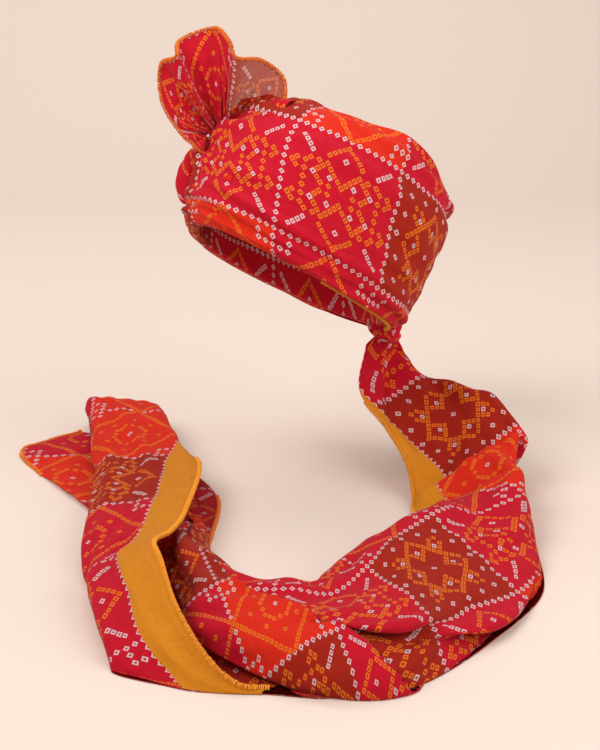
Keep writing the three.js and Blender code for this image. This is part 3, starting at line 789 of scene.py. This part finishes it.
# %% [markdown]
# Three kinds of fold lie in the free end. Soft ripples are waves again. A groove sinks the cloth
# along a line. A pleat needs more cloth than there is room for: the rows run on under the cloth,
# turn back, and then go on over the top. Counting the rows forwards, backwards and forwards again
# gives exactly that, so that no separate piece is needed.

# %% Folds of the free end
PLEAT_ROWS = 120
FINE = 12  # rows between two sections where lengths and normals are measured
LOWEST = 0.9  # the cloth's middle never comes nearer to the table, in mm


def pleated(pleat, share, last, count):
    """Places down the cloth with a pleat in it, how far past it they are, and their lift."""
    at = np.interp(share, pleat["shares"], pleat["places"])[None, :]
    under = pleat["under"]
    long = np.linspace(0, 1, count)[:, None] * (last + 2 * under)
    back = np.where(long < at + 2 * under, 2 * (at + under) - long, long - 2 * under)
    place = np.where(long < at + under, long, back)
    past = np.clip((long - at - under) / under, 0, 1)
    over = np.exp(-np.maximum(place - at, 0) / pleat["fade"])
    sunk = pleat["sink"] * (1 - past) * hump(place, at, 0.25)
    return place, past, pleat["lift"] * past * over - sunk


def groove(fold, share, place):
    """Depth of a groove along a line, steeper on the side of the first edge."""
    off = share[None, :] - np.interp(place, fold["places"], fold["shares"])
    slope = np.where(off < 0, fold["steep"], fold["gentle"])
    return fold["depth"] * hump(off, 0, slope) * hump(place, fold["middle"], fold["spread"])


def free_end(rows, columns, between, seed, pleat=None, folds=()):
    """The cloth's points, metres along and across at each, and whether it lies past the pleat."""
    sections = [section(row, columns) for row in rows]
    stack = np.array([points for points, _ in sections])
    last = len(rows) - 1
    share = np.linspace(0, 1, columns)
    place = np.repeat(np.linspace(0, last, last * between + 1)[:, None], columns, 1)
    past = lift = np.zeros_like(place)
    if pleat:
        place, past, lift = pleated(pleat, share, last, last * between + PLEAT_ROWS)
    for fold in folds:
        lift = lift - groove(fold, share, place)
    grid = np.stack([smooth_rows(stack[:, k], place[:, k]) for k in range(columns)], 1)
    even = np.linspace(0, last, last * FINE + 1)
    plain = smooth_rows(stack, even)
    width = np.interp(place, np.arange(last + 1), [total for _, total in sections])
    u = np.interp(place, even, walked(plain).mean(axis=1))
    v = share[None, :] * width
    ripples = waves(u, v, seed, 8, 240, 36) * 2.0 + waves(u, v, seed + 1, 6, 70, 60) * 1.1
    at_edge = np.clip(np.minimum(v, width - v) / 12, 0.15, 1)
    at_table = np.clip((grid[..., 2] - 1.2) / 14, 0, 1)
    nearest = np.clip(np.rint(place * FINE).astype(int), 0, len(even) - 1)
    normal = grid_normals(plain)[nearest, np.arange(columns)[None, :]]
    grid = grid + normal * (ripples * at_edge * at_table + lift)[..., None]
    grid[..., 2] = np.maximum(grid[..., 2], LOWEST)
    return grid, u * MM, v * MM, past > 0.5


print("rows a pleat adds:", PLEAT_ROWS)

# %% [markdown]
# The run is the free end from the knot round to the front. A groove below the knot, a hollow
# beside the wrap and one large pleat shape it. Before the pleat the checks follow the cloth. Past
# it another part of the cloth lies on top, so there the print lies askew.

# %% Free end: the run
TAIL_WALL = 0.7
PLEAT = {
    "shares": [0.0, 0.427, 0.449, 0.472, 0.508, 0.55, 0.76, 1.0],
    "places": [18.0, 17.0, 13.6, 12.5, 11.6, 10.8, 10.15, 9.65],
    "under": 0.28,
    "fade": 0.45,
    "lift": 5.0,
    "sink": 1.5,
}
BELOW_KNOT = {
    "places": [0, 1, 2],
    "shares": [0.4, 0.25, 0.02],
    "steep": 0.025,
    "gentle": 0.13,
    "middle": 0.9,
    "spread": 0.75,
    "depth": 12,
}
BESIDE_WRAP = {
    "places": [12, 13, 14, 15, 16],
    "shares": [0.8, 0.76, 0.74, 0.72, 0.7],
    "steep": 0.1,
    "gentle": 0.3,
    "middle": 14.2,
    "spread": 1.7,
    "depth": 17,
}
RUN_BETWEEN = 22
run_plan, u, v, past = free_end(TAIL_RUN, 100, RUN_BETWEEN, 41, PLEAT, [BELOW_KNOT, BESIDE_WRAP])
edge_kept = np.clip((u - 0.28) / 0.12, 0, 1)
edge_hidden = 0.034 * (1 - np.clip((u - 0.04) / 0.15, 0, 1))
run_v = v * (1 + 0.03 * edge_kept) + 0.0605 * edge_kept + edge_hidden
before = np.stack([0.864 * u - 0.165, run_v], -1)
right_of = run_plan[..., 0] - 23.5
nearer = run_plan[..., 1] + run_plan[..., 2] + 405
askew_u = 420 - 0.538 * right_of + 0.659 * nearer
askew_v = 246 - 1.423 * right_of - 0.319 * nearer
run_uv = np.where(past[..., None], np.stack([askew_u, askew_v], -1) * MM, before)
run_points = on_table(run_plan)
tail_run = cloth("tail_run_cloth", run_points, run_uv, TAIL_WALL, thin_voile)
stand_for(tail_run, "tail_run")

# %% [markdown]
# The wrap is the rest of the free end, folded over the run so that its bordered edge comes to lie
# on top. Towards its far end that edge is turned in, and the border goes under with it: the print
# is shifted across the cloth there, row by row.

# %% Free end: the wrap
WRAP_PRINT = {"cloth": [0, 0.128, 0.262, 0.392, 0.515, 0.75], "chart": [0.213, 0.315, 0.42, 0.525, 0.63, 0.827]}
TURNED_IN = {"places": [8, 9, 10, 11], "metres": [0, 0.024, 0.056, 0.066]}
wrap_plan, u, v, _ = free_end(TAIL_WRAP, 90, 30, 42)
wrap_place = np.linspace(0, len(TAIL_WRAP) - 1, len(wrap_plan))
wrap_u = np.interp(u, WRAP_PRINT["cloth"], WRAP_PRINT["chart"])
turned_in = np.interp(wrap_place, TURNED_IN["places"], TURNED_IN["metres"])
wrap_uv = np.stack([wrap_u, v + turned_in[:, None]], -1)
wrap_points = on_table(wrap_plan)
tail_wrap = cloth("tail_wrap_cloth", wrap_points, wrap_uv, TAIL_WALL, thin_voile)
stand_for(tail_wrap, "tail_wrap")

# %% [markdown]
# The last corner of the cloth lies flat under the wrap at the left. It is almost plane, so two
# edges and straight lines between them are enough, with a slight swell and a few soft waves.

# %% Flat corner
TAIL_CORNER = [
    {"left_x": -258, "left_y": -10, "right_x": -196, "right_y": -112},
    {"left_x": -288, "left_y": 62, "right_x": -198, "right_y": -12},
    {"left_x": -236, "left_y": 122, "right_x": -204, "right_y": 90},
]
CORNER_PRINT = np.array([0.349, 0.316])
places = np.linspace(0, len(TAIL_CORNER) - 1, 80)
share = np.linspace(0, 1, 60)[None, :, None]
left, right = (
    np.stack([table_curve(TAIL_CORNER, f"{side}_{axis}", places) for axis in "xy"], -1)[:, None]
    for side in ("left", "right")
)
flat_xy = left * (1 - share) + right * share
swell = 1.4 + 3.5 * np.sin(share * np.pi)
swell = swell + 0.9 * waves(flat_xy[..., 0], flat_xy[..., 1], 51, 5, 60, 60)[..., None]
corner_grid = on_table(np.concatenate([flat_xy, np.maximum(swell, LOWEST)], -1))
corner_uv = flat_xy * MM * 0.85 + CORNER_PRINT
tail_corner = cloth("tail_corner_cloth", corner_grid, corner_uv, TAIL_WALL, thin_voile)
stand_for(tail_corner, "tail_corner")

# %% [markdown]
# The raw edges are overlocked with mercerised cotton thread: it is matt with a faint sheen, and
# the machine throws a loop round the edge at every stitch.
# A stitch repeats thousands of times along a path, which is work for Geometry Nodes: the edge is
# resampled at the stitch spacing, a small loop is placed on each point and turned to the edge, and
# chance tilts and scales it a little. A bump texture would look flat where the edge is seen side on.

# %% Overlock stitches
def thread_cotton(name, text):
    material = bpy.data.materials.new(name)
    material.use_nodes = True
    shader = material.node_tree.nodes["Principled BSDF"]
    shader.inputs["Base Color"].default_value = colour(text)
    shader.inputs["Roughness"].default_value = 0.75
    shader.inputs["Sheen Weight"].default_value = 0.04
    return material


# the border's thread is bright yellow, the one on the printed edges is nearer to red
marigold_thread = thread_cotton("Marigold overlock thread", "#E08C06")
orange_thread = thread_cotton("Orange overlock thread", "#DA6A0E")
STITCH_SIZES = {"Stitch spacing": 0.0014, "Loop radius": 0.0017, "Thread radius": 0.0005}
TILT = 0.2
LOOP_SCALE = (0.9, 1.15)


def overlock_tree():
    tree = bpy.data.node_groups.new("Overlock stitches", "GeometryNodeTree")
    socket = tree.interface.new_socket
    socket("Geometry", in_out="INPUT", socket_type="NodeSocketGeometry")
    for label, value in STITCH_SIZES.items():
        socket(label, in_out="INPUT", socket_type="NodeSocketFloat").default_value = value
    socket("Seed", in_out="INPUT", socket_type="NodeSocketInt")
    socket("Thread", in_out="INPUT", socket_type="NodeSocketMaterial")
    socket("Geometry", in_out="OUTPUT", socket_type="NodeSocketGeometry")
    given = tree.nodes.new("NodeGroupInput").outputs
    node = partial(add, tree)
    curve = node("GeometryNodeMeshToCurve", i0=given["Geometry"])
    even = node("GeometryNodeResampleCurve", {"mode": "LENGTH"}, i0=curve, i3=given["Stitch spacing"])
    round_loop = {"mode": "RADIUS"}
    ring = node("GeometryNodeCurvePrimitiveCircle", round_loop, i0=9, i4=given["Loop radius"])
    yarn = node("GeometryNodeCurvePrimitiveCircle", round_loop, i0=5, i4=given["Thread radius"])
    loop = node("GeometryNodeCurveToMesh", i0=ring, i1=yarn)
    along = node("GeometryNodeInputTangent")
    turn = node("FunctionNodeAlignRotationToVector", {"axis": "Z"}, i2=along)
    tilt = {"i0": (-TILT,) * 3, "i1": (TILT,) * 3, "i8": given["Seed"]}
    tilt = node("FunctionNodeRandomValue", {"data_type": "FLOAT_VECTOR"}, **tilt)
    turn = node("FunctionNodeRotateRotation", {"rotation_space": "LOCAL"}, i0=turn, i1=tilt)
    size = {"i2": LOOP_SCALE[0], "i3": LOOP_SCALE[1], "i8": given["Seed"]}
    size = node("FunctionNodeRandomValue", {"data_type": "FLOAT"}, **size).node.outputs[1]
    loops = node("GeometryNodeInstanceOnPoints", i0=even, i2=loop, i5=turn, i6=size)
    solid = node("GeometryNodeRealizeInstances", i0=loops)
    done = node("GeometryNodeSetMaterial", i0=solid, i2=given["Thread"])
    node("NodeGroupOutput", i0=done)
    return tree


stitches = overlock_tree()
print("nodes in the stitch tree:", len(stitches.nodes))

# %% [markdown]
# Every edge that shows gets its own run of stitches. The path is handed to the tree as a mesh of
# plain edges. The result is turned into a plain mesh, because the export drops instances, and the
# guide is thrown away. The border's edges have the yellow thread and the others the orange one.

# %% Overlocked edges
def overlock(name, path, thread, seed):
    """Stitches along a path of points in mm, as a plain mesh."""
    mesh = bpy.data.meshes.new(name)
    mesh.from_pydata((path * MM).tolist(), [(k, k + 1) for k in range(len(path) - 1)], [])
    guide = bpy.data.objects.new(name + "_guide", mesh)
    bpy.context.collection.objects.link(guide)
    nodes = guide.modifiers.new("Overlock", "NODES")
    nodes.node_group = stitches
    items = stitches.interface.items_tree
    sockets = {item.name: item.identifier for item in items if item.in_out == "INPUT"}
    nodes[sockets["Seed"]] = seed
    nodes[sockets["Thread"]] = thread
    shown = guide.evaluated_get(bpy.context.evaluated_depsgraph_get())
    made = bpy.data.meshes.new_from_object(shown)
    bpy.data.objects.remove(guide)
    piece = set_down(name, made)
    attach(piece, "root")
    return piece


run_border = run_points[36 : RUN_BETWEEN * 7, 0]
open_edge = wrap_points[wrap_place < 8.2, 0]
under_edge = wrap_points[(wrap_place > 6.6) & (wrap_place < 8.1), -1]
brim_points = left_points[0]
near = (brim_points[:, 0] > 40) & (brim_points[:, 1] > -40)
fan_hem = overlock("fan_overlock", fan_grid[:, -1], orange_thread, 1)
run_edge = overlock("run_overlock", run_border, marigold_thread, 2)
wrap_edge = overlock("wrap_overlock", open_edge, marigold_thread, 3)
under_hem = overlock("under_overlock", under_edge, orange_thread, 7)
end_hem = overlock("end_overlock", run_points[-1], orange_thread, 4)
corner_hem = overlock("corner_overlock", corner_grid[:, 0], orange_thread, 5)
brim_edge = overlock("brim_overlock", brim_points[near], marigold_thread, 6)

# %% [markdown]
# Every sheet says how large it is when it is spread out flat, in metres, how it is held, and what it lies on.
# The stitches belong to the sheet whose edge they hold.

# %% Sheets
for piece, flat, held, under, extra in (
    (crown_wrap, (0.27, 0.74), "folded", ["nape_knot_cloth"], []),
    (right_lay, (0.19, 0.40), "stretched", ["crown_wrap_cloth"], []),
    (left_lay, (0.20, 0.50), "stretched", ["crown_wrap_cloth", "right_lay_cloth"], [brim_edge]),
    (fan, (0.09, 0.17), "gathered", ["left_lay_cloth"], [fan_hem]),
    (fan_puff, (0.06, 0.06), "folded", ["right_lay_cloth"], []),
    (nape_knot, (0.08, 0.06), "folded", ["left_lay_cloth"], []),
    (tail_run, (0.19, 0.80), "laid", ["nape_knot_cloth"], [run_edge, end_hem]),
    (tail_wrap, (0.19, 0.70), "folded", ["tail_run_cloth"], [wrap_edge, under_hem]),
    (tail_corner, (0.09, 0.14), "laid", ["tail_wrap_cloth"], [corner_hem]),
):
    print(f"{piece.name}: {flat[0]} by {flat[1]} m, {held}")

# %% [markdown]
# The turban lies on a sweep of pale uncoated paper, which is matt and has no horizon: the floor
# bends up softly behind. A plane with a backdrop would show a line where they meet.

# %% Stage
SWEEP_WIDTH = 8000
SWEEP_BENDS_AT, SWEEP_DEPTH, SWEEP_RISE = 1.3, 2.25, 2.6
paper = bpy.data.materials.new("Pale uncoated paper")
paper.use_nodes = True
paper_shader = paper.node_tree.nodes["Principled BSDF"]
paper_shader.inputs["Base Color"].default_value = colour("#DDCCC0")
paper_shader.inputs["Roughness"].default_value = 0.9
paper_shader.inputs["Specular IOR Level"].default_value = 0.1
depth = np.linspace(-2.5, 3.9, 110)
bend = (np.clip(depth - SWEEP_BENDS_AT, 0, None) / SWEEP_DEPTH) ** 2.4 * SWEEP_RISE
sides = [
    np.stack([np.full_like(depth, x), depth / MM, bend / MM], -1)
    for x in (-SWEEP_WIDTH / 2, SWEEP_WIDTH / 2)
]
count = len(depth)
sweep_mesh = bpy.data.meshes.new("sweep")
sweep_faces = [(k, count + k, count + k + 1, k + 1) for k in range(count - 1)]
sweep_mesh.from_pydata((on_table(np.concatenate(sides)) * MM).tolist(), [], sweep_faces)
sweep_mesh.materials.append(paper)
sweep = set_down("sweep", sweep_mesh)

# %% [markdown]
# The light is soft and plain: a large key from the upper left, a weaker fill from the right, one
# lamp for the paper behind, and a bright world that fills the shadows. Large lamps give the soft
# edges that cloth needs. The view transform stays Standard, so that the dyes keep their red.

# %% Light
def lamp(name, spot, target, size, power):
    """A square lamp at a spot of the plan (mm), turned to a target."""
    light = bpy.data.lights.new(name, "AREA")
    light.size, light.energy = size, power
    piece = bpy.data.objects.new(name, light)
    bpy.context.collection.objects.link(piece)
    where, aim = (on_table(np.array(place, float)) * MM for place in (spot, target))
    piece.location = where
    piece.rotation_euler = Vector(aim - where).to_track_quat("-Z", "Y").to_euler()


lamp("key", (-1300, -1200, 1900), (0, -50, 150), 1.3, 40)
lamp("fill", (1300, -900, 900), (0, -50, 150), 1.6, 19)
lamp("back", (-300, 900, 2300), (200, 2400, 300), 2.0, 31)
scene = bpy.context.scene
scene.world = bpy.data.worlds.new("studio")
scene.world.use_nodes = True
sky = scene.world.node_tree.nodes["Background"]
sky.inputs["Color"].default_value = colour("#FFFAF5")
sky.inputs["Strength"].default_value = 0.44
scene.view_settings.view_transform = "Standard"
print("lamps:", len(bpy.data.lights))

# %% [markdown]
# The camera stands in front of the free end's plan, a little above, and looks slightly down. A long
# lens from far away keeps the crown and the free end in their true proportions.

# %% Camera
LOOKS_DOWN = math.radians(17.2)
camera_data = bpy.data.cameras.new("camera")
camera_data.lens, camera_data.sensor_width = 81.6, 36
camera = bpy.data.objects.new("camera", camera_data)
camera.location = on_table(np.array([-2.0, -1592.3, 595.4])) * MM
camera.rotation_euler = (math.pi / 2 - LOOKS_DOWN, 0, VIEW_TURN)
bpy.context.collection.objects.link(camera)
scene.camera = camera
print("lens:", camera_data.lens, "mm")

# %% [markdown]
# Last, every piece hangs on the root body. Folds may stand out a little, but the turban keeps its size.

# %% Finish
print("pieces ready")
